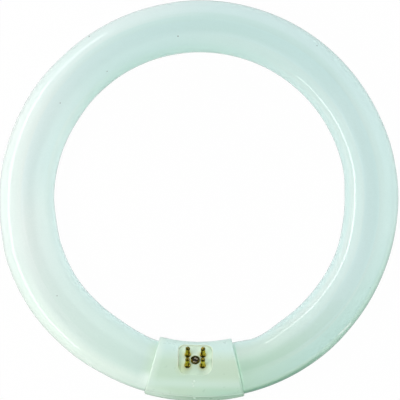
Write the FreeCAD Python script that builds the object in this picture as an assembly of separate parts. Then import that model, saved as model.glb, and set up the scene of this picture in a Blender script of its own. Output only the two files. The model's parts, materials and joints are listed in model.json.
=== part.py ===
"""Circular fluorescent lamp: a ring of glass tube closed by a two-part moulded cap with four contact pins.

Millimetres. The origin is the centre of the ring, on the middle plane of its tube. +Z points to the side
that the pins face, and the cap is at -Y. Places in the cap are given by three distances from the middle of
its section: along X, up the slope towards the ring's centre, and out along the axis of the pins.
"""

import FreeCAD, Part
import math
import os

from FreeCAD import Vector

# Ring of glass
RING_DIAMETER = 210.0        # outside, over the glass
TUBE_DIAMETER = 28.6         # nine eighths of an inch
NECK_STEP = 1.1              # how much narrower the tube is at its ends, which the cap holds
NECK_START = 36.0            # degrees from the cap's middle where the tube starts to narrow
NECK_FULL = 23.0             # degrees from the cap's middle where it is down to the neck
END_CLEARANCE = 2.4          # from the block under the recess to a glass end
RIM_ROUND = 1.3              # outer edge of a glass end
RIM_WIDTH = 2.35             # from the outside of a glass end to the mouth of its funnel
FLARE_THROAT_RADIUS = 5.6    # where the funnel runs straight
FLARE_SHOULDER = 5.2         # depth where the funnel meets its throat
FLARE_SHOULDER_ROUND = 3.0
FLARE_DEPTH = 14.0
FLARE_MOUTH_ROUND = 0.7
FLARE_FOOT_ROUND = 1.0
EXHAUST_RADIUS = 2.2         # the closed stub in the middle of the funnel
EXHAUST_REACH = 5.6          # past the glass end
EXHAUST_TAPER = 2.0          # its last stretch, drawn to a blunt tip
EXHAUST_TIP_RADIUS = 0.8
EXHAUST_ROUND = 1.0
EXHAUST_TIP_ROUND = 0.5

# Cap
CAP_WALL = 1.05              # at its thinnest, on the outside of the ring
CAP_SPAN = 28.8              # degrees of the ring that the cap covers
CAP_EDGE_ROUND = 1.0
GLASS_CLEARANCE = 0.25       # between the cap's bore and the glass
PIN_TILT = 33.0              # degrees that the pins lean from the ring's axis towards its centre
PARTING_HEIGHT = 0.8         # the seam between the halves, out from the section's middle
SEAM_GAP = 0.12              # the walls stay this far apart, since the two bosses meet first

# Recess round the pins
RECESS_DEPTH = 3.4           # below the top of the cap's round section
RECESS_LENGTH = 17.6         # along X
RECESS_WIDTH = 17.2          # up the slope
RECESS_CORNER = 4.2
RECESS_WALL = 1.3
FLOOR_THICKNESS = 1.5
FLOOR_ROUND = 0.6
RECESS_EDGE_ROUND = 0.4

# Contact pins, at the corners of a rectangle
PIN_DIAMETER = 2.35
PIN_SPACING_X = 7.92
PIN_SPACING_SLOPE = 6.35
PIN_HEIGHT = 7.3             # above the floor of the recess
PIN_TIP_FLAT = 0.45          # what the round of the tip leaves flat
COLLAR_LIP = 0.48            # past the pin, all round
COLLAR_HEIGHT = 0.9
COLLAR_ROUND = 0.45
CLINCH_LIP = 0.42            # the flange that holds a pin under the floor
CLINCH_HEIGHT = 0.6
CLINCH_ROUND = 0.2
TAIL_LENGTH = 1.6            # below the floor, with the flange
PIN_HOLE_CLEARANCE = 0.03
CRIMP_WIDTH = 1.0            # diameter of the tool that marks the side of the pin
CRIMP_DEPTH = 0.3
CRIMP_LENGTH = 1.6
CRIMP_START = 0.75           # above the collar

# Fastener between the pins
BOSS_WALL = 1.3              # round the eyelet's barrel
BOSS_SINK = 0.7              # how far the back boss runs into the wall
SCREW_DIAMETER = 2.5
SCREW_LENGTH = 18.0          # under the head
SCREW_POINT = 1.2
SCREW_TIP_RADIUS = 0.5
SCREW_HEAD_LIP = 0.4         # past the shank, all round
SCREW_HEAD_HEIGHT = 1.0
SCREW_HEAD_ROUND = 0.3
CROSS_LENGTH = 2.1
CROSS_WIDTH = 0.5
CROSS_DEPTH = 0.6
SHANK_CLEARANCE = 0.15
THREAD_CLEARANCE = 0.03
PILOT_SPARE = 1.5            # depth of the blind hole past the screw's point
EYELET_LIP = 0.5             # of the flange, past the barrel
EYELET_HEIGHT = 0.85         # above the floor
EYELET_ROUND = 0.4
EYELET_BARREL_WALL = 0.25
EYELET_DEPTH = 1.2           # of the barrel, below the floor
EYELET_SOLE = 0.3            # the inner flange that the screw's head presses on
HEAD_CLEARANCE = 0.05
BARREL_CLEARANCE = 0.05

# Lead wires, from the funnels to the pins
WIRE_DIAMETER = 0.6
WIRE_CLEARANCE = 0.06        # round the wire in the hollow pin
WIRE_END_SPARE = 0.15        # between the wire's end and the end of the pin's bore
WIRE_STUB_CLEARANCE = 0.65   # from a wire to the exhaust stub beside it
WIRE_PAST_RIM = 1.0          # how far a wire runs straight past the glass end
WIRE_RISE = 5.0              # the straight run into the tail of the pin
WIRE_BEND = 1.6              # radius of its two bends

NEAR = 1e-4                  # how far apart two equal lengths may come out
OVERCUT = 1.0                # how far a cutting shape runs past what it cuts
UP = Vector(0, 0, 1)
CENTRE = Vector(0, 0, 0)

TUBE_RADIUS = TUBE_DIAMETER / 2
NECK_RADIUS = TUBE_RADIUS - NECK_STEP / 2
RING_RADIUS = RING_DIAMETER / 2 - TUBE_RADIUS       # to the middle of the tube
NECK_RING_RADIUS = RING_DIAMETER / 2 - NECK_RADIUS  # the neck keeps the ring's outer edge
FLARE_MOUTH_RADIUS = NECK_RADIUS - RIM_WIDTH        # the funnel in a glass end, at its rim
BORE_RADIUS = NECK_RADIUS + GLASS_CLEARANCE
CAP_RADIUS = BORE_RADIUS + NECK_RING_RADIUS - RING_RADIUS + CAP_WALL
HALF_SPAN = CAP_SPAN / 2
BLOCK_LENGTH = RECESS_LENGTH + 2 * RECESS_WALL
BLOCK_WIDTH = RECESS_WIDTH + 2 * RECESS_WALL
END_ANGLE = math.degrees(math.asin((BLOCK_LENGTH / 2 + END_CLEARANCE) / NECK_RING_RADIUS))
RECESS_FLOOR = CAP_RADIUS - RECESS_DEPTH            # out from the section's middle
FLOOR_UNDERSIDE = RECESS_FLOOR - FLOOR_THICKNESS
PIN_RADIUS = PIN_DIAMETER / 2
PIN_TAIL = FLOOR_UNDERSIDE - TAIL_LENGTH
COLLAR_TOP = RECESS_FLOOR + COLLAR_HEIGHT
CRIMP_LOW = COLLAR_TOP + CRIMP_START
CRIMP_HIGH = CRIMP_LOW + CRIMP_LENGTH
SHANK_RADIUS = SCREW_DIAMETER / 2
HEAD_RADIUS = SHANK_RADIUS + SCREW_HEAD_LIP
BARREL_BORE = HEAD_RADIUS + HEAD_CLEARANCE          # radius inside the eyelet's barrel
BARREL_RADIUS = BARREL_BORE + EYELET_BARREL_WALL
BARREL_HOLE = BARREL_RADIUS + BARREL_CLEARANCE      # radius of its hole in the floor
BARREL_END = RECESS_FLOOR - EYELET_DEPTH
HEAD_SEAT = BARREL_END + EYELET_SOLE                # where the screw's head lies
SCREW_END = HEAD_SEAT - SCREW_LENGTH
BOSS_RADIUS = BARREL_HOLE + BOSS_WALL
WIRE_RADIUS = WIRE_DIAMETER / 2
WIRE_OFFSET = EXHAUST_RADIUS + WIRE_STUB_CLEARANCE + WIRE_RADIUS
PIN_AXIS = Vector(0, math.sin(math.radians(PIN_TILT)), math.cos(math.radians(PIN_TILT)))
SLOPE = Vector(0, math.cos(math.radians(PIN_TILT)), -math.sin(math.radians(PIN_TILT)))


def at_cap(x, slope, out):
    """A point of the cap, measured from the middle of its section."""
    middle = Vector(0, -RING_RADIUS, 0)
    return middle + Vector(x, 0, 0) + SLOPE * slope + PIN_AXIS * out


def on_ring(angle, radius, height=0.0):
    """A point at an angle from the cap's middle, towards +X."""
    a = math.radians(angle)
    return Vector(radius * math.sin(a), -radius * math.cos(a), height)


def along_ring(angle):
    """The direction of travel round the ring at an angle."""
    a = math.radians(angle)
    return Vector(math.cos(a), math.sin(a), 0)


def tube_arc(ring_radius, radius, start, end):
    """A round tube bent about the ring's axis, from one angle to another."""
    circle = Part.Edge(Part.Circle(on_ring(start, ring_radius), along_ring(start), radius))
    disc = Part.Face(Part.Wire(circle))
    return disc.revolve(CENTRE, UP, end - start)


def corner_arc(before, here, after, radius):
    """The start, middle and end of the arc that rounds the corner between two straight runs."""
    to_before = (before - here).normalize()
    to_after = (after - here).normalize()
    half = to_before.getAngle(to_after) / 2
    reach = radius / math.tan(half)
    bisector = (to_before + to_after).normalize()
    middle = here + bisector * (radius / math.sin(half) - radius)
    return here + to_before * reach, middle, here + to_after * reach


def turned(profile, base, axis, side):
    """Turns a closed outline of (radius, distance) corners about an axis through the base.

    A corner with a third number is rounded to that radius.
    """
    places = [base + side * corner[0] + axis * corner[1] for corner in profile]
    edges = []
    runs = []
    for i, corner in enumerate(profile):
        here = places[i]
        if len(corner) == 2:
            runs.append((here, here))
            continue
        first, middle, last = corner_arc(places[i - 1], here, places[(i + 1) % len(places)], corner[2])
        edges.append(Part.Arc(first, middle, last).toShape())
        runs.append((first, last))
    for i, run in enumerate(runs):
        end = runs[(i + 1) % len(runs)][0]
        if run[1].distanceToPoint(end) > NEAR:
            edges.append(Part.LineSegment(run[1], end).toShape())
    outline = Part.Wire(Part.__sortEdges__(edges))
    return Part.Face(outline).revolve(base, axis, 360)


def peg(radius, low, high, x=0.0, slope=0.0):
    """A cylinder along the axis of the pins, from one distance out to another."""
    return Part.makeCylinder(radius, high - low, at_cap(x, slope, low), PIN_AXIS)


def rounded_block(length, width, corner, low, high):
    """A block with rounded corners, along the axis of the pins."""
    x = length / 2
    s = width / 2
    outline = [at_cap(*place, low) for place in ((-x, -s), (x, -s), (x, s), (-x, s), (-x, -s))]
    block = Part.Face(Part.makePolygon(outline)).extrude(PIN_AXIS * (high - low))
    upright = []
    for edge in block.Edges:
        if edge.tangentAt(edge.FirstParameter).cross(PIN_AXIS).Length < NEAR:
            upright.append(edge)
    return block.makeFillet(corner, upright)


def joined(shapes):
    """One solid from several that meet."""
    return shapes[0].fuse(shapes[1:]).removeSplitter()


# Glass

def neck_section(share, angle):
    """The outline of the tube part of the way from its full size (0) to the neck (1)."""
    blend = (1 - math.cos(math.pi * share)) / 2
    radius = TUBE_RADIUS + blend * (NECK_RADIUS - TUBE_RADIUS)
    ring = RING_RADIUS + blend * (NECK_RING_RADIUS - RING_RADIUS)
    return Part.Wire(Part.Edge(Part.Circle(on_ring(angle, ring), along_ring(angle), radius)))


def neck_taper(side):
    """The stretch where the tube narrows, on one side of the cap."""
    steps = 6
    sections = []
    for i in range(steps + 1):
        share = i / steps
        angle = NECK_START + share * (NECK_FULL - NECK_START)
        sections.append(neck_section(share, side * angle))
    return Part.makeLoft(sections, True, False)


def glass_end(side):
    """The middle of a glass end, and the direction from there into the tube."""
    return on_ring(side * END_ANGLE, NECK_RING_RADIUS), along_ring(side * END_ANGLE) * side


def flare(side):
    """The funnel in a glass end, with its straight throat."""
    base, inward = glass_end(side)
    profile = [(0, 0), (FLARE_MOUTH_RADIUS, 0), (FLARE_THROAT_RADIUS, FLARE_SHOULDER, FLARE_SHOULDER_ROUND),
               (FLARE_THROAT_RADIUS, FLARE_DEPTH, FLARE_FOOT_ROUND), (0, FLARE_DEPTH)]
    return turned(profile, base, inward, UP)


def exhaust_stub(side):
    """The closed stub through which the tube was emptied and filled."""
    base, inward = glass_end(side)
    profile = [(0, FLARE_DEPTH), (EXHAUST_RADIUS, FLARE_DEPTH),
               (EXHAUST_RADIUS, EXHAUST_TAPER - EXHAUST_REACH, EXHAUST_ROUND),
               (EXHAUST_TIP_RADIUS, -EXHAUST_REACH, EXHAUST_TIP_ROUND), (0, -EXHAUST_REACH)]
    return turned(profile, base, inward, UP)


def round_edges(solid, centre, radius):
    """The full circles of one radius about one centre."""
    circles = [edge for edge in solid.Edges if isinstance(edge.Curve, Part.Circle)]
    same_size = [edge for edge in circles if abs(edge.Curve.Radius - radius) < NEAR]
    return [edge for edge in same_size if edge.Curve.Center.distanceToPoint(centre) < NEAR]


def glass_tube():
    """The sealed glass, as one solid: it is coated inside and can't be seen into."""
    glass = joined([
        tube_arc(NECK_RING_RADIUS, NECK_RADIUS, END_ANGLE, NECK_FULL),
        neck_taper(1),
        tube_arc(RING_RADIUS, TUBE_RADIUS, NECK_START, 360 - NECK_START),
        neck_taper(-1),
        tube_arc(NECK_RING_RADIUS, NECK_RADIUS, 360 - NECK_FULL, 360 - END_ANGLE),
    ])
    for side in (1, -1):
        base = glass_end(side)[0]
        glass = glass.cut(flare(side))
        glass = glass.makeFillet(RIM_ROUND, round_edges(glass, base, NECK_RADIUS))
        glass = glass.makeFillet(FLARE_MOUTH_ROUND, round_edges(glass, base, FLARE_MOUTH_RADIUS))
        glass = glass.fuse(exhaust_stub(side))
    return glass


# Cap

def cap_body():
    """The outside of the whole cap, with its two ends rounded."""
    body = tube_arc(RING_RADIUS, CAP_RADIUS, -HALF_SPAN, HALF_SPAN)
    ends = []
    for side in (-1, 1):
        ends += round_edges(body, on_ring(side * HALF_SPAN, RING_RADIUS), CAP_RADIUS)
    return body.makeFillet(CAP_EDGE_ROUND, ends)


def beyond_seam(height, outward):
    """Everything on one side of the seam, which follows the ring."""
    reach = 2 * CAP_RADIUS
    turn = HALF_SPAN + OVERCUT
    far = height + outward * reach
    corners = ((-reach, height), (reach, height), (reach, far), (-reach, far), (-reach, height))
    face = Part.Face(Part.makePolygon([at_cap(0, slope, out) for slope, out in corners]))
    face.rotate(CENTRE, UP, -turn)
    return face.revolve(CENTRE, UP, 2 * turn)


def cap_bore():
    """The round bore of the cap, which holds the necks of the glass."""
    return tube_arc(NECK_RING_RADIUS, BORE_RADIUS, -HALF_SPAN - OVERCUT, HALF_SPAN + OVERCUT)


def recess():
    """The hollow round the pins, with a rounded foot."""
    block = rounded_block(RECESS_LENGTH, RECESS_WIDTH, RECESS_CORNER, RECESS_FLOOR, CAP_RADIUS + OVERCUT)
    floor = at_cap(0, 0, RECESS_FLOOR)
    foot = [e for e in block.Edges if all(abs((v.Point - floor).dot(PIN_AXIS)) < NEAR for v in e.Vertexes)]
    return block.makeFillet(FLOOR_ROUND, foot)


def recess_rim(shell):
    """The edges where the recess opens in the round outside of the cap."""
    found = []
    for edge in shell.Edges:
        points = edge.discretize(5)
        offsets = [math.hypot(p.z, math.hypot(p.x, p.y) - RING_RADIUS) - CAP_RADIUS for p in points]
        places = [p - at_cap(0, 0, 0) for p in points]
        inside = all(abs(p.x) < BLOCK_LENGTH / 2 and abs(p.dot(SLOPE)) < BLOCK_WIDTH / 2 for p in places)
        above = all(p.dot(PIN_AXIS) > PARTING_HEIGHT for p in places)
        if inside and above and max(abs(offset) for offset in offsets) < 0.01:
            found.append(edge)
    return found


def cap_front_shell():
    """The half with the recess. The block under the recess grows out of the wall."""
    body = cap_body()
    wall = body.common(beyond_seam(PARTING_HEIGHT + SEAM_GAP / 2, 1)).cut(cap_bore())
    corner = RECESS_CORNER + RECESS_WALL
    block = rounded_block(BLOCK_LENGTH, BLOCK_WIDTH, corner, FLOOR_UNDERSIDE, CAP_RADIUS + OVERCUT)
    block = block.common(body)
    boss = peg(BOSS_RADIUS, PARTING_HEIGHT, FLOOR_UNDERSIDE)
    shell = joined([wall, block, boss]).cut(recess())
    shell = shell.makeFillet(RECESS_EDGE_ROUND, recess_rim(shell))
    above = RECESS_FLOOR + OVERCUT
    for x, slope in pin_places():
        shell = shell.cut(peg(PIN_RADIUS + PIN_HOLE_CLEARANCE, FLOOR_UNDERSIDE - OVERCUT, above, x, slope))
    shell = shell.cut(peg(BARREL_HOLE, BARREL_END, above))
    return shell.cut(peg(SHANK_RADIUS + SHANK_CLEARANCE, PARTING_HEIGHT - OVERCUT, BARREL_END))


def cap_back_shell():
    """The plain half, with the boss that takes the screw."""
    wall = cap_body().common(beyond_seam(PARTING_HEIGHT - SEAM_GAP / 2, -1)).cut(cap_bore())
    boss = peg(BOSS_RADIUS, BOSS_SINK - CAP_RADIUS, PARTING_HEIGHT)
    pilot = peg(SHANK_RADIUS + THREAD_CLEARANCE, SCREW_END - PILOT_SPARE, PARTING_HEIGHT + OVERCUT)
    return joined([wall, boss]).cut(pilot)


# Pins

def pin_places():
    """The four corners of the rectangle of pins, counted round it."""
    x = PIN_SPACING_X / 2
    s = PIN_SPACING_SLOPE / 2
    return [(-x, s), (x, s), (x, -s), (-x, -s)]


def contact_pin(x, slope):
    """One hollow pin: domed tip, collar on the floor, flange under it, and a crimp facing the middle."""
    tip = RECESS_FLOOR + PIN_HEIGHT
    collar = PIN_RADIUS + COLLAR_LIP
    clinch = PIN_RADIUS + CLINCH_LIP
    flange = FLOOR_UNDERSIDE - CLINCH_HEIGHT
    bore = WIRE_RADIUS + WIRE_CLEARANCE
    bore_end = CRIMP_HIGH + WIRE_END_SPARE
    profile = [(0, tip), (PIN_RADIUS, tip, PIN_RADIUS - PIN_TIP_FLAT / 2), (PIN_RADIUS, COLLAR_TOP),
               (collar, COLLAR_TOP, COLLAR_ROUND), (collar, RECESS_FLOOR), (PIN_RADIUS, RECESS_FLOOR),
               (PIN_RADIUS, FLOOR_UNDERSIDE), (clinch, FLOOR_UNDERSIDE), (clinch, flange, CLINCH_ROUND),
               (PIN_RADIUS, flange), (PIN_RADIUS, PIN_TAIL), (bore, PIN_TAIL), (bore, bore_end), (0, bore_end)]
    pin = turned(profile, at_cap(x, slope, 0), PIN_AXIS, SLOPE)
    inward = -math.copysign(1, x)
    mark = x + inward * (PIN_RADIUS + CRIMP_WIDTH / 2 - CRIMP_DEPTH)
    crimp = peg(CRIMP_WIDTH / 2, CRIMP_LOW, CRIMP_HIGH, mark, slope)
    for end in (CRIMP_LOW, CRIMP_HIGH):
        crimp = crimp.fuse(Part.makeSphere(CRIMP_WIDTH / 2, at_cap(mark, slope, end)))
    return pin.cut(crimp)


# Fastener

def screw_eyelet():
    """The brass eyelet: a flange on the floor, a barrel in it and a sole under the screw's head."""
    top = RECESS_FLOOR + EYELET_HEIGHT
    flange = BARREL_RADIUS + EYELET_LIP
    hole = SHANK_RADIUS + SHANK_CLEARANCE / 2
    profile = [(BARREL_BORE, top), (flange, top, EYELET_ROUND), (flange, RECESS_FLOOR),
               (BARREL_RADIUS, RECESS_FLOOR), (BARREL_RADIUS, BARREL_END), (hole, BARREL_END),
               (hole, HEAD_SEAT), (BARREL_BORE, HEAD_SEAT)]
    return turned(profile, at_cap(0, 0, 0), PIN_AXIS, SLOPE)


def cap_screw():
    """The screw that clamps the two halves, with a cross in its head."""
    top = HEAD_SEAT + SCREW_HEAD_HEIGHT
    profile = [(0, top), (HEAD_RADIUS, top, SCREW_HEAD_ROUND), (HEAD_RADIUS, HEAD_SEAT),
               (SHANK_RADIUS, HEAD_SEAT), (SHANK_RADIUS, SCREW_END + SCREW_POINT),
               (SCREW_TIP_RADIUS, SCREW_END), (0, SCREW_END)]
    screw = turned(profile, at_cap(0, 0, 0), PIN_AXIS, SLOPE)
    base = top - CROSS_DEPTH
    for length, width in ((CROSS_LENGTH, CROSS_WIDTH), (CROSS_WIDTH, CROSS_LENGTH)):
        x = length / 2
        s = width / 2
        points = [at_cap(*corner, base) for corner in ((-x, -s), (x, -s), (x, s), (-x, s), (-x, -s))]
        slot = Part.Face(Part.makePolygon(points)).extrude(PIN_AXIS * (CROSS_DEPTH + OVERCUT))
        screw = screw.cut(slot)
    return screw


# Lead wires

def bent_wire(points, bend, radius):
    """A round wire of straight runs joined by tangent arcs."""
    edges = []
    start = points[0]
    for before, here, after in zip(points, points[1:], points[2:]):
        first, middle, last = corner_arc(before, here, after, bend)
        edges.append(Part.LineSegment(start, first).toShape())
        edges.append(Part.Arc(first, middle, last).toShape())
        start = last
    edges.append(Part.LineSegment(start, points[-1]).toShape())
    path = Part.Wire(edges)
    direction = (points[1] - points[0]).normalize()
    disc = Part.Wire(Part.Edge(Part.Circle(points[0], direction, radius)))
    return path.makePipeShell([disc], True, False)


def lead_wire(x, slope):
    """From the bottom of the funnel, past the rim and up into the tail of its pin."""
    base, inward = glass_end(math.copysign(1, x))
    aside = SLOPE - inward * SLOPE.dot(inward)
    line = base + aside.normalize() * math.copysign(WIRE_OFFSET, slope)
    points = [line + inward * FLARE_DEPTH, line - inward * WIRE_PAST_RIM,
              at_cap(x, slope, PIN_TAIL - WIRE_RISE), at_cap(x, slope, CRIMP_HIGH)]
    return bent_wire(points, WIRE_BEND, WIRE_RADIUS)


def main():
    pieces = {
        "glass_tube": glass_tube(),
        "cap_front_shell": cap_front_shell(),
        "cap_back_shell": cap_back_shell(),
        "cap_screw": cap_screw(),
        "screw_eyelet": screw_eyelet(),
    }
    for number, (x, slope) in enumerate(pin_places(), 1):
        pieces[f"contact_pin_{number}"] = contact_pin(x, slope)
        pieces[f"lead_wire_{number}"] = lead_wire(x, slope)
    os.makedirs("parts", exist_ok=True)
    for name, shape in pieces.items():
        shape.exportStep(f"parts/{name}.step")
        print(name, "solids", len(shape.Solids), "valid", shape.isValid(), "volume", round(shape.Volume, 2))


main()
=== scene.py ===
import json
import math

import bmesh
import bpy
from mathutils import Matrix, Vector


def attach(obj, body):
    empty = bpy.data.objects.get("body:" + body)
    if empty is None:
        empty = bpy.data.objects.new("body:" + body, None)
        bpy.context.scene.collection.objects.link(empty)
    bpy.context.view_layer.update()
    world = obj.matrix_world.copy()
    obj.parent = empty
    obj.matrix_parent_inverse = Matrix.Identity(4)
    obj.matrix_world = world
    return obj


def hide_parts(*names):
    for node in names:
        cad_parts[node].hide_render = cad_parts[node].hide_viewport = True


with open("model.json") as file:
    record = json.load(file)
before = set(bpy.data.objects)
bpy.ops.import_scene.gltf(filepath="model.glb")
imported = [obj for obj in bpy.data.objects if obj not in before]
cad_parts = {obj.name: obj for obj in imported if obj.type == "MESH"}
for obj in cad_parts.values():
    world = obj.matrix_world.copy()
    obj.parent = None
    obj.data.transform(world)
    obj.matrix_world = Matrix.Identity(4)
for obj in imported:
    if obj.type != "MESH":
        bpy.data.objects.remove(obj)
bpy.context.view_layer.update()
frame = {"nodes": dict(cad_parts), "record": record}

# A circular fluorescent lamp, lying on white and seen from straight above its pins. Metres.
# The ring's axis is Z and the cap is at -Y. Angles round the ring are in degrees from the cap's middle
# towards +X. A turn goes round the tube, in degrees from the outside of the ring over the top.
CENTRE = (0, 0, 0)
WHITE = (1, 1, 1)

# Directions in the picture
LEFT, RIGHT, UP, DOWN = (-1, 0, 0), (1, 0, 0), (0, 1, 0), (0, -1, 0)
FIVE_O_CLOCK = (0.5, -0.87, 0)
SEVEN_O_CLOCK = (-0.5, -0.87, 0)

# Ring of glass, as in the CAD model
RING_OUTSIDE = 0.105         # radius
TUBE = 0.0143                # radius
RING_MIDDLE = RING_OUTSIDE - TUBE
NECK = 0.01375               # radius of the ends, which the cap holds
NECK_START = 36.0            # angle at which the tube starts to narrow
NECK_FULL = 23.0             # angle from which it is as narrow as the neck
TUBE_END = 7.873             # where the glass ends inside the cap
RIM_ROUND = 0.0013           # radius of the rounded rim
# (radius, depth) of the rows from the rounded rim down the funnel and out along the closed stub
FLARE_ROWS = (
    (0.01190, 0.0), (0.01150, 0.00010), (0.01112, 0.00038), (0.01075, 0.00075), (0.00800, 0.00330),
    (0.00700, 0.00430), (0.00620, 0.00540), (0.00573, 0.00680), (0.00560, 0.00820), (0.00560, 0.01300),
    (0.00540, 0.01362), (0.00480, 0.01400), (0.00260, 0.01400), (0.00220, 0.01360), (0.00220, -0.00330),
    (0.00205, -0.00395), (0.00165, -0.00450), (0.00115, -0.00515), (0.00070, -0.00550),
)
RIM_STEPS = 5                # rows round the rim
ROUND_STEPS = 96             # points round the tube
ROW_STEP = 1.0               # degrees from row to row
# (angle, outer, inner): millimetres that the real ring's two edges lie further out than true circles
WANDER = (
    (15, 0, 0), (24, 0, 1.1), (40, -0.1, 0.6), (54, -0.5, 0.5), (69, -0.6, 0.6), (84, -0.5, 0),
    (92, -0.3, 0), (104, -0.4, 0.8), (119, -0.7, 0.8), (150, -0.5, 0.8), (180, -0.6, 0.6),
    (195, -0.9, 0.5), (210, -1.1, 0.3), (224, -1.1, 0), (240, -0.5, -0.5), (270, 0, -0.2),
    (280, 0.3, -0.6), (289, 1.2, -0.2), (304, 1.1, 0), (320, 0.4, -0.5), (334, -0.1, -1.0), (345, 0, 0),
)

# Ranges of a noise that a pattern is spread over: soft over the wider, and clearer over the narrower
NOISE_RANGE = (0.3, 0.7)
NOISE_CORE = (0.35, 0.65)

# Tone of the glass and marks on it
OUTER_SIDE = (0.0925, 0.0965)           # radii between which a tone passes to the tube's outer side
OUTER_EDGE = (0.0950, 0.0990)           # radii over which the tones along its outer edge set in
PALE_STREAK = ((47.0, 39.2), (52.3, 32.6))    # ends of a pale streak, angle and turn
PALE_STREAK_EDGES = (0.00016, 0.00004)        # detour by both of its ends, where it starts and where it is full
SPECKS = (                              # (angle, turn, radius) of the dark specks
    (-144.5, 26.0, 0.0006), (-171.2, 113.0, 0.0004), (143.8, 43.8, 0.0004), (-142.8, 127.6, 0.0003),
    (63.9, 44.5, 0.0003), (-54.3, 97.5, 0.0003), (-123.2, 100.2, 0.0003),
)

# Cap and pins
CAP = 0.0156                 # radius of its round section
CAP_HALF = 14.4              # degrees that it covers on each side
PIN_TILT = math.radians(33)  # how far the pins lean from Z towards the ring's centre
SCREW_AXIS = -RING_MIDDLE * math.cos(PIN_TILT)      # up the slope, in the turned frame of the pins
SECTION = -RING_MIDDLE * math.sin(PIN_TILT)         # middle of the cap's section, along the pins
SEAM = SECTION + 0.0008
PIN_FLOOR = SECTION + 0.0122
HEAD_TOP = SECTION + 0.0123                         # of the screw
COLLAR_TOP = SECTION + 0.0131
PIN_TIP = SECTION + 0.0195
CRIMP = [PIN_FLOOR + height for height in (0.0013, 0.0017, 0.0039, 0.0044)]     # rows for its band
PIN_PLACE = (0.00396, 0.003175, 0)                  # of each pin from the screw, across and up the slope
RECESS_CORNER = (0.0046, 0.0044, 0)                 # where the recess starts to round its corners
RECESS_ROUND = 0.0046                               # radius of those corners
EYELET = 0.0034                                     # radius of the eyelet, with a little round it
YELLOW_PATCH = (-0.0068, -0.0885, 0.0120)                  # middle of a yellower, darker patch beside the recess
SOFT_EDGE = 0.0007                                  # radius to which the moulding's edges look worn
MARK_STEPS = 24              # points round a gate mark
# (place, radii across, along and up, slope in degrees) of the spots that the gates left on the moulding
GATE_MARKS = (
    ((-0.0002, -0.0947, 0.01500), (0.00055, 0.00060, 0.00025), 15),
    ((-0.0010, -0.0959, 0.01464), (0.00045, 0.00060, 0.00022), 20),
    ((-0.0006, -0.0971, 0.01418), (0.00045, 0.00085, 0.00022), 25),
    ((0.0, -0.1038, 0.00840), (0.00090, 0.00045, 0.00035), 57),
)

# Camera
CAMERA_HEIGHT = 1.2
FIELD = 0.21016              # width of the view at the middle of the tube
CAMERA_ROLL = 1.4            # degrees
CAMERA_PLACE = (0.00047, -0.00058)
SENSOR = 36.0                # millimetres

# Floor, room and light
FLOOR_SIZE = 8.0
FLOOR_GREY = 0.8             # what lights the lamp's underside
FLOOR_SEEN = 0.985           # share of pure white that the camera sees in it
FLOOR_MIRRORED = 0.2         # and that gloss and metal see
HOOD_SIZE = 1.6
HOOD_HEIGHT = 1.35
HOOD_GREY = 0.02
FILL = (0.95, 1.0, 1.0)      # light from all round
FILL_STRENGTH = 0.15
# (name, place, target, width, length, brightness, tint, the rays that don't see it)
LAMPS = (
    # low on the left: a strip that draws the bright lines along the tube, and a card beside the ring
    ("long_strip", (-0.75, 0.13, 0.163), (0, 0.13, 0.163), 2.26, 0.10, 5.8, WHITE, None),
    ("low_card", (-0.19, 0.06, 0.0073), (0.165, 0.06, 0.9423), 0.57, 0.128, 0.5, WHITE, "diffuse"),
    # soft light from the sides, which the gloss doesn't mirror
    ("near_left", (-0.28, -0.02, 0.5), (-0.06, -0.04, 0), 0.2, 0.2, 8.9, (1.22, 1.0, 1.03), "glossy"),
    ("right_side", (0.95, 0.0, 0.18), (0, 0.0, 0.18), 1.6, 0.22, 5.6, (0.955, 1.0, 1.0), "glossy"),
    ("high_top", (0.0, 1.2, 0.9), CENTRE, 1.0, 1.0, 3.0, (1.0, 1.0, 1.05), "glossy"),
    ("high_bottom", (0.0, -1.2, 0.9), CENTRE, 1.0, 1.0, 2.4, (0.84, 1.0, 0.93), "glossy"),
)

# Finished meshes
MERGE_BELOW = 1e-6                      # distance between points that become one
SMOOTH_BELOW = math.radians(40)         # angle between faces that shade as one


# Places

def ring_place(angle, radius, height=0.0):
    """A point at an angle round the ring and a distance from its axis."""
    a = math.radians(angle)
    return Vector((radius * math.sin(a), -radius * math.cos(a), height))


def ring_along(angle):
    """Direction along the ring, towards greater angles."""
    a = math.radians(angle)
    return Vector((math.cos(a), math.sin(a), 0))


def eased(low, high, share):
    """A value between two, which leaves the one and reaches the other softly."""
    return low + (high - low) * (1 - math.cos(math.pi * min(max(share, 0), 1))) / 2


def wander(angle):
    """How far the outer and inner edge of the real ring lie from those of a true one."""
    for (start, *first), (end, *last) in zip(WANDER, WANDER[1:]):
        if start <= angle <= end:
            share = (angle - start) / (end - start)
            return [eased(low, high, share) / 1000 for low, high in zip(first, last)]
    return 0.0, 0.0


def row_sizes(angle):
    """Middle, width and height of the tube's section, the last two as radii."""
    from_cap = min(angle, 360 - angle)
    radius = eased(NECK, TUBE, (from_cap - NECK_FULL) / (NECK_START - NECK_FULL))
    outer, inner = wander(angle)
    return RING_OUTSIDE - radius + (outer + inner) / 2, radius + (outer - inner) / 2, radius


def tube_place(angle, turn):
    """A point on the glass."""
    middle, width, height = row_sizes(angle % 360)
    t = math.radians(turn)
    return ring_place(angle, middle + width * math.cos(t), height * math.sin(t))


# Modelling

def begin(name):
    """Names the primitive that was just added, puts its place in its mesh and opens it for editing."""
    piece = bpy.context.object
    piece.name = name
    piece.data.name = name
    bpy.ops.object.transform_apply(location=True, rotation=True, scale=True)
    bpy.ops.object.mode_set(mode="EDIT")
    bpy.ops.mesh.select_mode(type="VERT")
    bpy.ops.mesh.select_all(action="SELECT")
    return piece


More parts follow.
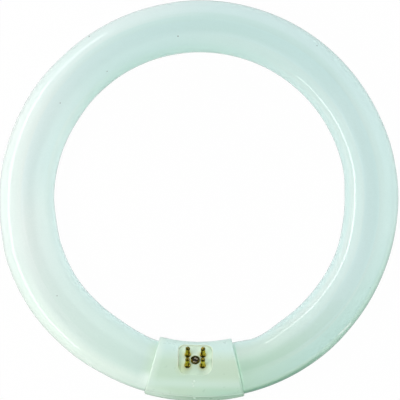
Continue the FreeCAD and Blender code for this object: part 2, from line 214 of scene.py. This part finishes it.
def pick(piece, test):
    """Selects the points of a piece that pass a test."""
    mesh = bmesh.from_edit_mesh(piece.data)
    for vert in mesh.verts:
        vert.select_set(False)
    mesh.select_flush(False)
    for vert in mesh.verts:
        if test(vert):
            vert.select_set(True)
    mesh.select_flush(True)
    bmesh.update_edit_mesh(piece.data)


def close(piece):
    """Merges, turns the faces outwards, smooths and hangs a finished piece on the body."""
    bpy.ops.mesh.select_all(action="SELECT")
    bpy.ops.mesh.remove_doubles(threshold=MERGE_BELOW)
    bpy.ops.mesh.normals_make_consistent(inside=False)
    bpy.ops.object.mode_set(mode="OBJECT")
    bpy.ops.object.shade_smooth_by_angle(angle=SMOOTH_BELOW)
    bpy.ops.object.select_all(action="DESELECT")
    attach(piece, "root")


def draw_round(degrees):
    """Draws the selected row on round the ring's axis. The operator counts its angle the other way."""
    bpy.ops.mesh.spin(steps=1, angle=-math.radians(degrees), center=CENTRE, axis=(0, 0, 1))


def next_row(middle, scale, move):
    """Draws the selected row on: a new one, sized about its middle and moved."""
    bpy.ops.mesh.extrude_region_move()
    bpy.ops.transform.resize(value=(scale, scale, scale), center_override=middle)
    bpy.ops.transform.translate(value=move)


# Glass

def funnel(piece, side):
    """Closes one end of the tube: rounded rim, funnel and the stub that stands in it."""
    angle = side * TUBE_END
    middle = ring_place(angle, RING_OUTSIDE - NECK)
    inward = ring_along(angle) * side
    reach = RIM_ROUND * 1.5
    pick(piece, lambda vert: vert.is_boundary and abs((vert.co - middle).dot(inward)) < reach
         and vert.co.x * side > 0)
    turns = [math.pi / 2 * step / RIM_STEPS for step in range(1, RIM_STEPS + 1)]
    rim = [(NECK - RIM_ROUND * (1 - math.cos(turn)), RIM_ROUND * (1 - math.sin(turn))) for turn in turns]
    radius, depth = NECK, RIM_ROUND
    for wanted, deeper in (*rim, *FLARE_ROWS):
        next_row(middle, wanted / radius, inward * (deeper - depth))
        radius, depth = wanted, deeper
    bpy.ops.mesh.extrude_region_move()
    bpy.ops.mesh.merge(type="CENTER")


def glass_ring():
    """The sealed tube, drawn round from one end to the other."""
    start = TUBE_END + math.degrees(RIM_ROUND / (RING_OUTSIDE - NECK))
    bpy.ops.mesh.primitive_circle_add(vertices=ROUND_STEPS, radius=NECK,
                                      location=ring_place(start, RING_OUTSIDE - NECK),
                                      rotation=(0, math.pi / 2, math.radians(start)))
    ring = begin("glass_ring")
    rows = round((360 - 2 * start) / ROW_STEP)
    step = (360 - 2 * start) / rows
    middle, width, height = row_sizes(start)
    for row in range(1, rows + 1):
        angle = start + step * row
        draw_round(step)
        new_middle, new_width, new_height = row_sizes(angle)
        wider = new_width / width
        bpy.ops.transform.resize(value=(wider, wider, new_height / height),
                                 center_override=ring_place(angle, middle))
        bpy.ops.transform.translate(value=ring_place(angle, new_middle - middle))
        middle, width, height = new_middle, new_width, new_height
    for side in (1, -1):
        funnel(ring, side)
    close(ring)
    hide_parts("glass_tube")
    return ring


# Cap

def gate_mark(number, place, radii, slope):
    """One spot: a low dome, half sunk in the moulding."""
    bpy.ops.mesh.primitive_uv_sphere_add(segments=MARK_STEPS, ring_count=MARK_STEPS // 2, radius=1.0,
                                         location=place, scale=radii,
                                         rotation=(math.radians(slope), 0, 0))
    mark = begin("gate_mark_%d" % number)
    close(mark)
    return mark


# Materials: nodes

def feed(made, key, value):
    """Sets an input of a node, or links another node's output to it."""
    if isinstance(value, bpy.types.NodeSocket):
        made.id_data.links.new(value, made.inputs[key])
    else:
        made.inputs[key].default_value = value


def node(beside, kind, inputs=None, **settings):
    """Adds a node to a tree, or to that of another node or socket. Its inputs take values or outputs."""
    made = beside.id_data.nodes.new("ShaderNode" + kind)
    for key, value in settings.items():
        setattr(made, key, value)
    for key, value in (inputs or {}).items():
        feed(made, key, value)
    return made


def colour(r, g, b):
    """An opaque colour."""
    return (r, g, b, 1.0)


def calc(operation, first, second):
    """One step of arithmetic. The first value comes from a node."""
    return node(first, "Math", {0: first, 1: second}, operation=operation).outputs[0]


def chained(operation, values):
    """Runs several values through one operation, two at a time."""
    result = values[0]
    for value in values[1:]:
        result = calc(operation, result, value)
    return result


def least(*values):
    """The lowest of several values."""
    return chained("MINIMUM", values)


def most(*values):
    """The highest of several values."""
    return chained("MAXIMUM", values)


def times(*values):
    """The product of several values."""
    return chained("MULTIPLY", values)


def ranged(value, start, full, low=0.0, high=1.0):
    """Turns a value into one that is low up to the start, and rises to high where it is full."""
    return node(value, "MapRange", {"Value": value, "From Min": start, "From Max": full,
                                    "To Min": low, "To Max": high}).outputs["Result"]


def band(value, start, full, last, end):
    """1 between full and last, falling to 0 at the start and the end."""
    return least(ranged(value, start, full), ranged(value, end, last))


def vector(operation, first, second=CENTRE):
    """One step of arithmetic with places."""
    return node(first, "VectorMath", {0: first, 1: second}, operation=operation).outputs["Vector"]


def along(place, direction):
    """How far a place lies along a direction."""
    return node(place, "VectorMath", {0: place, 1: direction}, operation="DOT_PRODUCT").outputs["Value"]


def toward(place, direction, start, full, low=0.0, high=1.0):
    """Rises from low to high between two distances along a direction."""
    return ranged(along(place, direction), start, full, low, high)


def distance(place, point=CENTRE):
    """How far a place lies from a point."""
    return node(place, "VectorMath", {0: place, 1: point}, operation="DISTANCE").outputs["Value"]


def flattened(place):
    """A place without its height."""
    return node(place, "Mapping", {"Vector": place, "Scale": (1, 1, 0)}).outputs["Vector"]


def noise(place, scale, detail=2.0, roughness=0.5):
    """Clouds or grain, from 0 to 1. Its scale counts its lumps to the metre."""
    return node(place, "TexNoise", {"Vector": place, "Scale": scale, "Detail": detail,
                                    "Roughness": roughness}).outputs["Fac"]


def edge_on(place):
    """0 where the surface faces the eye, and 1 where it is seen edge on."""
    return node(place, "LayerWeight", {"Blend": 0.5}).outputs["Facing"]


def mixed(factor, first, second):
    """The colour between two, by a factor."""
    return node(factor, "Mix", {0: factor, 6: first, 7: second}, data_type="RGBA").outputs[2]


def patch(toned, tint, *masks, share=1.0):
    """Lays a tint on a tone, as far as the lowest of some masks and a share allow."""
    mask = least(*masks)
    if share < 1.0:
        mask = times(mask, share)
    return mixed(mask, toned, tint)


def finish(name, **sockets):
    """A material with its shader's own numbers set, and the place on the piece to hang patterns on."""
    material = bpy.data.materials.new(name)
    material.use_nodes = True
    shader = material.node_tree.nodes["Principled BSDF"]
    for key, value in sockets.items():
        feed(shader, key.replace("_", " "), value)
    return material, shader, node(shader, "TexCoord").outputs["Object"]


def roughened(shader, grain, low, high):
    """Roughness that a grain drives between two values."""
    feed(shader, "Roughness", ranged(grain, *NOISE_RANGE, low, high))


def bumped(shader, height, strength, depth, sockets=("Normal",), start=None):
    """Bump on some of a shader's normals, on top of a normal to start from."""
    made = node(shader, "Bump", {"Height": height, "Strength": strength, "Distance": depth})
    if start is not None:
        feed(made, "Normal", start)
    for socket in sockets:
        feed(shader, socket, made.outputs["Normal"])


# Materials: glass. A radius tells where a patch lies across the tube, whose middle is at RING_MIDDLE

def past_cap(place, side):
    """Distance along the ring past one end of the cap."""
    a = math.radians(CAP_HALF)
    return along(place, (side * math.cos(a), math.sin(a), 0))


def beside_cap(place, side, reach):
    """1 on the glass beside one end of the cap, falling to 0 at a distance. The rest of the ring has 0."""
    past = ranged(past_cap(place, side), reach, 0.0005)
    return least(past, toward(place, (side, 0, 0), 0.0, 0.005), toward(place, DOWN, 0.05, 0.06))


def coat_and_painted_light_tone(place, radius):
    """The white coat, cloudy and greener at the bottom, with painted light on the left, painted shade at
    the top, and bands of painted light and shade.
    """
    cloud = ranged(noise(place, 14.0, 3.0), *NOISE_RANGE)
    toned = mixed(cloud, colour(0.61, 0.805, 0.76), colour(0.65, 0.825, 0.785))
    # painted light on the left, painted shade at the top, and greener at the bottom
    toned = patch(toned, colour(0.71, 0.83, 0.785), toward(place, LEFT, 0.02, 0.095))
    toned = patch(toned, colour(0.545, 0.77, 0.72), toward(place, UP, 0.045, 0.095))
    toned = patch(toned, colour(0.61, 0.81, 0.71), toward(place, DOWN, 0.03, 0.11))
    # painted light along the outer edge: a painted highlight at the top and painted light at the left of
    # the cap
    outer = ranged(radius, *OUTER_EDGE)
    toned = patch(toned, colour(0.61, 0.82, 0.775), outer, toward(place, UP, 0.035, 0.075))
    toned = patch(toned, colour(0.77, 0.92, 0.83), outer, toward(place, SEVEN_O_CLOCK, 0.075, 0.097))
    # right: a painted highlight, a pale band inside the bright line
    toned = patch(toned, colour(0.72, 0.83, 0.78), band(radius, 0.0780, 0.0795, 0.0806, 0.0818),
                  toward(place, RIGHT, 0.03, 0.05), share=0.6)
    # top right: a painted reflection, paler on both sides of the tube's middle
    sides = most(ranged(radius, 0.0885, 0.0845), ranged(radius, 0.0965, 0.0990))
    toned = patch(toned, colour(0.66, 0.85, 0.83), sides,
                  toward(place, (0.5, 0.87, 0), 0.03, 0.09, high=0.5))
    # right: painted light, paler and bluer along the middle
    toned = patch(toned, colour(0.66, 0.92, 0.92), band(radius, 0.0855, 0.0880, 0.0915, 0.0940),
                  toward(place, (0.95, 0.3, 0), 0.02, 0.07, high=0.33))
    # bottom: outside the middle, painted shade on the right and painted light on the left
    toned = patch(toned, colour(0.48, 0.74, 0.69), band(radius, 0.0945, 0.0965, 0.0995, 0.1015),
                  toward(place, FIVE_O_CLOCK, 0.06, 0.1, high=0.5))
    toned = patch(toned, colour(0.84, 0.94, 0.92), band(radius, 0.0915, 0.0935, 0.0965, 0.0985),
                  toward(place, (-0.85, -0.53, 0), 0.075, 0.095, high=0.2))
    # left: painted shade outside the middle
    toned = patch(toned, colour(0.60, 0.76, 0.70), ranged(radius, 0.0920, 0.0950),
                  toward(place, LEFT, 0.07, 0.095, high=0.3))
    # top left: painted shade inside the middle and painted light along the outer edge
    toned = patch(toned, colour(0.58, 0.79, 0.785), band(radius, 0.0795, 0.0830, 0.0900, 0.0930),
                  toward(place, (-0.7, 0.7, 0), 0.052, 0.070, high=0.4))
    return patch(toned, colour(0.80, 0.88, 0.83), outer,
                 toward(place, (-0.6, 0.8, 0), 0.075, 0.095, high=0.28))


def cap_side_painted_light(toned, place, radius, outside):
    """Beside the cap: a greener painted shadow on the right, with painted shade along the middle, and
    painted light on the left.
    """
    # painted shadow of the cap on the glass to its right
    right = mixed(ranged(radius, 0.083, 0.087), colour(0.57, 0.745, 0.64), colour(0.52, 0.745, 0.60))
    toned = patch(toned, right, beside_cap(place, 1, 0.04))
    # painted shade along the middle of the tube
    toned = patch(toned, colour(0.43, 0.67, 0.51), beside_cap(place, 1, 0.07),
                  band(radius, 0.0865, 0.0908, 0.0918, 0.0930), share=0.55)
    # a painted light line where the glass meets the cap, which lightens the shade in the gap
    toned = patch(toned, colour(0.66, 0.95, 0.76), beside_cap(place, 1, 0.0014), share=0.7)
    # painted light on the glass to the left of the cap
    left = mixed(outside, colour(0.62, 0.82, 0.67), colour(0.84, 0.98, 0.90))
    return patch(toned, left, beside_cap(place, -1, 0.006))


def wall_and_painted_light_tone(toned, shader, place, outside, facing):
    """The clear wall, which is darker where it is seen edge on, with painted shade that makes it darkest
    at the lower right, and painted light on the inner rim.
    """
    # the lower right: a wide painted shade, and a dark line with less gloss, a painted reflection of the
    # shaded floor
    corner = toward(place, FIVE_O_CLOCK, 0.055, 0.1)
    wide = times(corner, outside, ranged(facing, 0.36, 0.68, high=0.9))
    toned = patch(toned, colour(0.34, 0.62, 0.44), wide)
    line = least(toward(place, (0.34, -0.94, 0), 0.0955, 0.1025), ranged(facing, 0.46, 0.68), outside)
    toned = patch(toned, colour(0.13, 0.33, 0.19), line, share=0.9)
    feed(shader, "Coat Weight", ranged(line, 0.0, 1.0, 1.0, 0.3))
    # the outer rim: darker where the clear wall is seen edge on, and darkest on the right by painted shade
    right = calc("ADD", times(corner, 1.5), toward(place, (0.87, -0.5, 0), -0.08, 0.02, 0.3, 1.0))
    thin = times(outside, ranged(facing, 0.56, 0.88, high=0.42), right)
    toned = patch(toned, colour(0.20, 0.36, 0.29), thin)
    # the inner rim: pale by painted light, and deeper at the top by painted shade
    rim = mixed(toward(place, LEFT, 0.02, 0.07), colour(0.65, 0.89, 0.86), colour(0.76, 0.97, 0.94))
    rim = patch(rim, colour(0.53, 0.81, 0.73), toward(place, (-0.35, 0.94, 0), 0.052, 0.072))
    inside = ranged(outside, 1.0, 0.0)
    return patch(toned, rim, times(inside, ranged(facing, 0.25, 0.65, high=0.7)))


def grain_streak_and_specks(toned, place, facing):
    """Grain that fades towards the rims, a pale streak and dark specks."""
    grain = times(ranged(noise(place, 1100.0, 3.0), 0.25, 0.75, high=0.10), ranged(facing, 0.55, 0.25))
    toned = patch(toned, colour(0.42, 0.60, 0.55), grain)
    first, second = [tube_place(*end) for end in PALE_STREAK]
    by_both = calc("ADD", distance(place, first), distance(place, second))
    faded, full = [(second - first).length + longer for longer in PALE_STREAK_EDGES]
    toned = patch(toned, colour(0.90, 1.0, 0.94), ranged(by_both, faded, full, high=0.75))
    specks = [ranged(distance(place, tube_place(angle, turn)), size, size / 2)
              for angle, turn, size in SPECKS]
    return patch(toned, colour(0.08, 0.10, 0.09), most(*specks))


def glass_finish():
    """Clear gloss over a white coat, with a little dust on the left."""
    material, shader, place = finish("coated glass", Roughness=0.5, Specular_IOR_Level=0.15,
                                     Coat_Weight=1.0, Coat_IOR=1.5)
    radius = distance(flattened(place))
    outside = ranged(radius, *OUTER_SIDE)
    facing = edge_on(place)
    toned = coat_and_painted_light_tone(place, radius)
    toned = cap_side_painted_light(toned, place, radius, outside)
    toned = wall_and_painted_light_tone(toned, shader, place, outside, facing)
    feed(shader, "Base Color", grain_streak_and_specks(toned, place, facing))
    feed(shader, "Coat Roughness", toward(place, (-1, 0.1, 0), 0.01, 0.085, 0.035, 0.16))
    bumped(shader, noise(place, 22.0, 1.0), 0.25, 0.002, ("Normal", "Coat Normal"))
    return material


# Materials: cap and its metal

def along_pins(place):
    """Place on a piece with its last axis turned along the pins, and how far it lies along them."""
    turned = node(place, "Mapping", {"Vector": place, "Rotation": (PIN_TILT, 0, 0),
                                     "Location": (0, -SCREW_AXIS, 0)}).outputs["Vector"]
    return turned, along(turned, (0, 0, 1))


def shell_and_painted_light_tone(place):
    """Satin moulding with a tone that differs at random, and painted light and shade at its two ends,
    along its edges and in bands along its curve.
    """
    down = along(place, DOWN)
    age = ranged(noise(place, 30.0, 3.0), *NOISE_CORE)
    toned = mixed(age, colour(0.55, 0.76, 0.61), colour(0.58, 0.76, 0.60))
    # painted light along the inner edge, at the left end and at the lower left
    toned = patch(toned, colour(0.62, 0.83, 0.76), ranged(down, 0.084, 0.078))
    toned = patch(toned, colour(0.72, 0.89, 0.78), ranged(past_cap(place, -1), -0.0045, -0.0008, high=0.7))
    toned = patch(toned, colour(0.69, 0.86, 0.73), toward(place, SEVEN_O_CLOCK, 0.092, 0.099))
    # painted shade at the lower right, with a painted band of light below the recess
    toned = patch(toned, colour(0.485, 0.74, 0.59), ranged(down, 0.095, 0.103),
                  toward(place, RIGHT, -0.005, 0.02))
    toned = patch(toned, colour(0.65, 0.83, 0.74), band(down, 0.0925, 0.0955, 0.0968, 0.0990), share=0.55)
    # painted shade at the right end
    return patch(toned, colour(0.47, 0.68, 0.54), ranged(past_cap(place, 1), -0.0013, -0.0008),
                 ranged(down, 0.092, 0.095))


def recess_and_painted_light_tone(toned, place, turned, out):
    """The recess: painted light, lightest on its walls, painted shade below the pins, and yellower round
    each of them.
    """
    # each place is folded onto the upper right quarter, where the recess has one corner and one pin
    flat = flattened(turned)
    folded = vector("ABSOLUTE", flat)
    corner = distance(vector("MAXIMUM", vector("SUBTRACT", folded, RECESS_CORNER)))
    recess = least(ranged(corner, RECESS_ROUND, RECESS_ROUND - 0.0003),
                   ranged(out, PIN_FLOOR - 0.0003, PIN_FLOOR - 0.0002))
    # painted light over the whole recess, which lightens its shade
    toned = patch(toned, colour(0.69, 0.88, 0.71), recess)
    # painted light on the foot of the left wall, and on all its walls
    toned = patch(toned, colour(0.90, 0.99, 0.88), recess, toward(place, LEFT, 0.005, 0.007),
                  ranged(corner, RECESS_ROUND - 0.0011, RECESS_ROUND - 0.0004))
    wall = times(recess, ranged(out, PIN_FLOOR + 0.0002, PIN_FLOOR + 0.0008))
    toned = patch(toned, colour(0.81, 0.95, 0.80), wall)
    # painted shade between the lower pins and below them
    low = ranged(distance(flat, (0, -0.0047, 0)), 0.0042, 0.001, high=0.4)
    toned = patch(toned, colour(0.50, 0.67, 0.48), times(low, recess))
    below = ranged(distance(flat, (-0.001, -0.0085, 0)), 0.0075, 0.0045, high=0.75)
    toned = patch(toned, colour(0.56, 0.78, 0.61), times(below, recess))
    # yellower and darker at the lower left, and yellower round each pin, enough to paint the shade between
    # the lower pins too
    yellow_patch = ranged(distance(place, YELLOW_PATCH), 0.0055, 0.001, high=0.6)
    toned = patch(toned, colour(0.58, 0.72, 0.38), yellow_patch)
    yellow = ranged(distance(folded, PIN_PLACE), 0.0034, 0.0016, high=0.8)
    return patch(toned, colour(0.62, 0.75, 0.42), times(yellow, recess))


def seam_dirt_and_painted_light(toned, place, out):
    """Dirt and painted shade below the seam, a painted highlight over it, and painted shade along the
    lower edge of the moulding.
    """
    # dirt in the seam, with painted shade that deepens towards the right
    seam_dirt_and_painted_shade = times(ranged(out, SEAM + 0.0001, SEAM - 0.0002),
                  toward(place, RIGHT, -0.02, 0.002, 0.22, 0.68))
    toned = patch(toned, colour(0.28, 0.46, 0.32), seam_dirt_and_painted_shade)
    # painted shade where the lower edge is seen edge on
    toned = patch(toned, colour(0.16, 0.32, 0.20), ranged(edge_on(place), 0.66, 0.86, high=0.6),
                  toward(place, DOWN, 0.088, 0.095))
    # a painted highlight on the edge of the shell over the seam
    painted_seam_highlight = times(ranged(out, SEAM, SEAM + 0.0001), ranged(out, SEAM + 0.0009, SEAM + 0.0004))
    return patch(toned, colour(0.75, 0.88, 0.78), painted_seam_highlight, share=0.5)


def cap_finish():
    """Satin moulding with softened edges."""
    material, shader, place = finish("cap plastic")
    turned, out = along_pins(place)
    toned = recess_and_painted_light_tone(shell_and_painted_light_tone(place), place, turned, out)
    grain = ranged(noise(place, 1600.0, 3.0), *NOISE_RANGE, high=0.04)
    toned = patch(toned, colour(0.40, 0.54, 0.44), grain)
    feed(shader, "Base Color", seam_dirt_and_painted_light(toned, place, out))
    roughened(shader, noise(place, 300.0), 0.27, 0.33)
    soft = node(shader, "Bevel", {"Radius": SOFT_EDGE}, samples=8).outputs["Normal"]
    bumped(shader, noise(place, 2600.0), 0.15, 0.0001, start=soft)
    return material


def mark_finish():
    """The same moulding where it was broken from its gates: paler and duller."""
    material, shader, place = finish("gate marks", Roughness=0.5)
    pale = ranged(noise(place, 1400.0, 3.0), *NOISE_CORE)
    feed(shader, "Base Color", mixed(pale, colour(0.78, 0.92, 0.82), colour(0.68, 0.85, 0.73)))
    bumped(shader, noise(place, 3200.0), 0.3, 0.0001)
    return material


def brass_finish():
    """Drawn brass gone dull and dark in the crimps, with a painted dark reflection round the tips and
    painted shade round the collars and on the eyelet.
    """
    material, shader, place = finish("brass", Metallic=1.0, Specular_Tint=colour(0.75, 0.68, 0.30))
    tarnish = ranged(noise(place, 620.0, 4.0, 0.6), 0.40, 0.62)
    toned = mixed(tarnish, colour(0.73, 0.59, 0.12), colour(0.37, 0.29, 0.03))
    turned, out = along_pins(place)
    flat = flattened(turned)
    local = vector("SUBTRACT", vector("ABSOLUTE", flat), PIN_PLACE)
    from_pin = distance(local)
    # the folded place counts up the slope for the upper pins and down it for the lower ones
    half = calc("SIGN", along(flat, UP), 0.0)
    up = times(along(local, UP), half)
    blotch = ranged(noise(place, 1500.0), 0.40, 0.55)
    # painted dark reflection round the rim of each tip, broken by blotches
    tip = times(ranged(out, PIN_TIP - 0.0011, PIN_TIP - 0.0007),
                most(ranged(from_pin, 0.0006, 0.0009), blotch))
    # painted shade on the lower and outer sides of each collar
    low = ranged(out, COLLAR_TOP + 0.0003, COLLAR_TOP)
    collar = least(low, ranged(up, -0.0007, -0.0012))
    side = least(low, ranged(from_pin, 0.0013, 0.00155, high=0.6))
    crimp = least(toward(local, LEFT, 0.0001, 0.0004), band(out, *CRIMP))
    # painted shade on the eyelet, deepest at its lower right
    eyelet = times(ranged(distance(flat), EYELET, EYELET - 0.0004),
                   toward(flat, (-0.6, 0.8, 0), 0.0026, -0.0014, 0.5, 0.95))
    dark = most(tip, collar, crimp, eyelet, side)
    feed(shader, "Base Color", patch(toned, colour(0.028, 0.030, 0.004), dark, share=0.96))
    roughened(shader, noise(place, 900.0, 3.0), 0.18, 0.34)
    # fine rings from turning
    rings = node(shader, "TexWave", {"Vector": turned, "Scale": 1300.0, "Distortion": 1.0},
                 wave_type="BANDS", bands_direction="Z").outputs["Fac"]
    bumped(shader, rings, 0.12, 0.00003)
    return material


def steel_finish():
    """Plated steel with a fine grain, pale spots that paint highlights, dark blotches, and painted shade
    in its hollows and round and down the edge of its head.
    """
    material, shader, place = finish("screw steel", Metallic=1.0)
    # pale spots that paint highlights, among darker steel
    dull = ranged(noise(place, 1500.0, 3.0), *NOISE_CORE)
    toned = mixed(dull, colour(0.92, 0.84, 0.66), colour(0.20, 0.17, 0.11))
    turned, out = along_pins(place)
    from_axis = distance(flattened(turned))
    # painted shade in the cross recess, round the head's edge and down its sides, with dark blotches
    dark = most(ranged(from_axis, 0.0010, 0.0007), ranged(from_axis, 0.00135, 0.0016),
                ranged(noise(place, 1000.0, 1.0), 0.45, 0.51),
                ranged(out, HEAD_TOP - 0.00004, HEAD_TOP - 0.00012))
    feed(shader, "Base Color", patch(toned, colour(0.012, 0.011, 0.006), dark, share=0.95))
    roughened(shader, noise(place, 2400.0), 0.25, 0.4)
    bumped(shader, noise(place, 4000.0), 0.1, 0.00002)
    return material


def wire_finish():
    """Tinned copper wire, a little dull."""
    material, shader, place = finish("lead wire", Metallic=1.0)
    dull = ranged(noise(place, 1200.0, 3.0), *NOISE_CORE)
    feed(shader, "Base Color", mixed(dull, colour(0.62, 0.58, 0.53), colour(0.48, 0.43, 0.38)))
    roughened(shader, noise(place, 2000.0), 0.25, 0.4)
    return material


def coat(piece, material):
    """Gives a piece one material all over."""
    piece.data.materials.clear()
    piece.data.materials.append(material)


def dress():
    """Gives every node of the CAD model its finish."""
    made = {"cap_plastic": cap_finish(), "brass": brass_finish(), "screw_steel": steel_finish(),
            "lead_wire": wire_finish(), "coated_glass": glass_finish()}
    slots = {part["node"]: part["material_slot"] for part in frame["record"]["subparts"]}
    for name, piece in frame["nodes"].items():
        for held in piece.material_slots:
            held.material = made[slots[name]]
    return made


# Floor, light and camera

def emptied(owner):
    """The node tree of a material or world, with nothing in it."""
    owner.use_nodes = True
    owner.node_tree.nodes.clear()
    return owner.node_tree


def seen_by(tree, *rays):
    """1 for rays of the named kinds."""
    path = node(tree, "LightPath")
    return most(*[path.outputs["Is %s Ray" % ray] for ray in rays])


def sheet(name, size, height):
    """A level square."""
    bpy.ops.mesh.primitive_plane_add(size=size, location=(0, 0, height))
    made = bpy.context.object
    made.name = name
    return made


def floor():
    """White to look at, and plain pale grey to the light."""
    ground = sheet("floor", FLOOR_SIZE, -CAP)
    material = bpy.data.materials.new("white floor")
    tree = emptied(material)
    plain = node(tree, "BsdfDiffuse", {"Color": colour(FLOOR_GREY, FLOOR_GREY, FLOOR_GREY)})
    white = node(tree, "Emission", {"Color": colour(*WHITE), "Strength": 1.0})
    share = most(times(seen_by(tree, "Camera"), FLOOR_SEEN),
                 times(seen_by(tree, "Glossy", "Transmission"), FLOOR_MIRRORED))
    both = node(tree, "MixShader", {0: share, 1: plain.outputs[0], 2: white.outputs[0]})
    node(tree, "OutputMaterial", {"Surface": both.outputs[0]})
    ground.data.materials.append(material)


def surroundings():
    """White to look at, and faint to the light."""
    world = bpy.data.worlds.new("studio")
    bpy.context.scene.world = world
    tree = emptied(world)
    fill = node(tree, "Background", {"Color": colour(*FILL), "Strength": FILL_STRENGTH})
    white = node(tree, "Background", {"Color": colour(*WHITE), "Strength": 1.0})
    seen = seen_by(tree, "Camera", "Glossy", "Transmission")
    both = node(tree, "MixShader", {0: seen, 1: fill.outputs[0], 2: white.outputs[0]})
    node(tree, "OutputWorld", {"Surface": both.outputs[0]})


def panel(name, place, target, width, length, brightness, tint, unseen):
    """A soft rectangular light. Its brightness is what a mirror would show, with 1 for white."""
    data = bpy.data.lights.new(name, "AREA")
    data.shape = "RECTANGLE"
    data.size = width
    data.size_y = length
    data.energy = brightness * math.pi * width * length
    data.color = tint
    light = bpy.data.objects.new(name, data)
    bpy.context.scene.collection.objects.link(light)
    light.location = place
    light.rotation_euler = (Vector(target) - Vector(place)).to_track_quat("-Z", "Y").to_euler()
    light.visible_camera = False
    if unseen:
        setattr(light, "visible_" + unseen, False)


def hood():
    """The dark room over the camera, which only metal and gloss show."""
    dark = sheet("hood", HOOD_SIZE, HOOD_HEIGHT)
    dark.visible_camera = dark.visible_diffuse = dark.visible_shadow = dark.visible_transmission = False
    material = bpy.data.materials.new("dark room")
    tree = emptied(material)
    plain = node(tree, "BsdfDiffuse", {"Color": colour(HOOD_GREY, HOOD_GREY, HOOD_GREY)})
    node(tree, "OutputMaterial", {"Surface": plain.outputs[0]})
    dark.data.materials.append(material)


def camera():
    """Looks straight down, from so far that the view is nearly parallel."""
    data = bpy.data.cameras.new("camera")
    data.sensor_width = SENSOR
    data.lens = SENSOR * CAMERA_HEIGHT / FIELD
    eye = bpy.data.objects.new("camera", data)
    bpy.context.scene.collection.objects.link(eye)
    eye.location = (*CAMERA_PLACE, CAMERA_HEIGHT)
    eye.rotation_euler = (0, 0, math.radians(CAMERA_ROLL))
    bpy.context.scene.camera = eye


def main():
    """The whole scene, in the order in which its parts need each other."""
    bpy.context.scene.view_settings.view_transform = "Standard"
    bpy.ops.object.select_all(action="DESELECT")
    camera()
    surroundings()
    for lamp in LAMPS:
        panel(*lamp)
    finishes = dress()
    coat(glass_ring(), finishes["coated_glass"])
    marks = mark_finish()
    for number, mark in enumerate(GATE_MARKS, 1):
        coat(gate_mark(number, *mark), marks)
    floor()
    hood()


main()
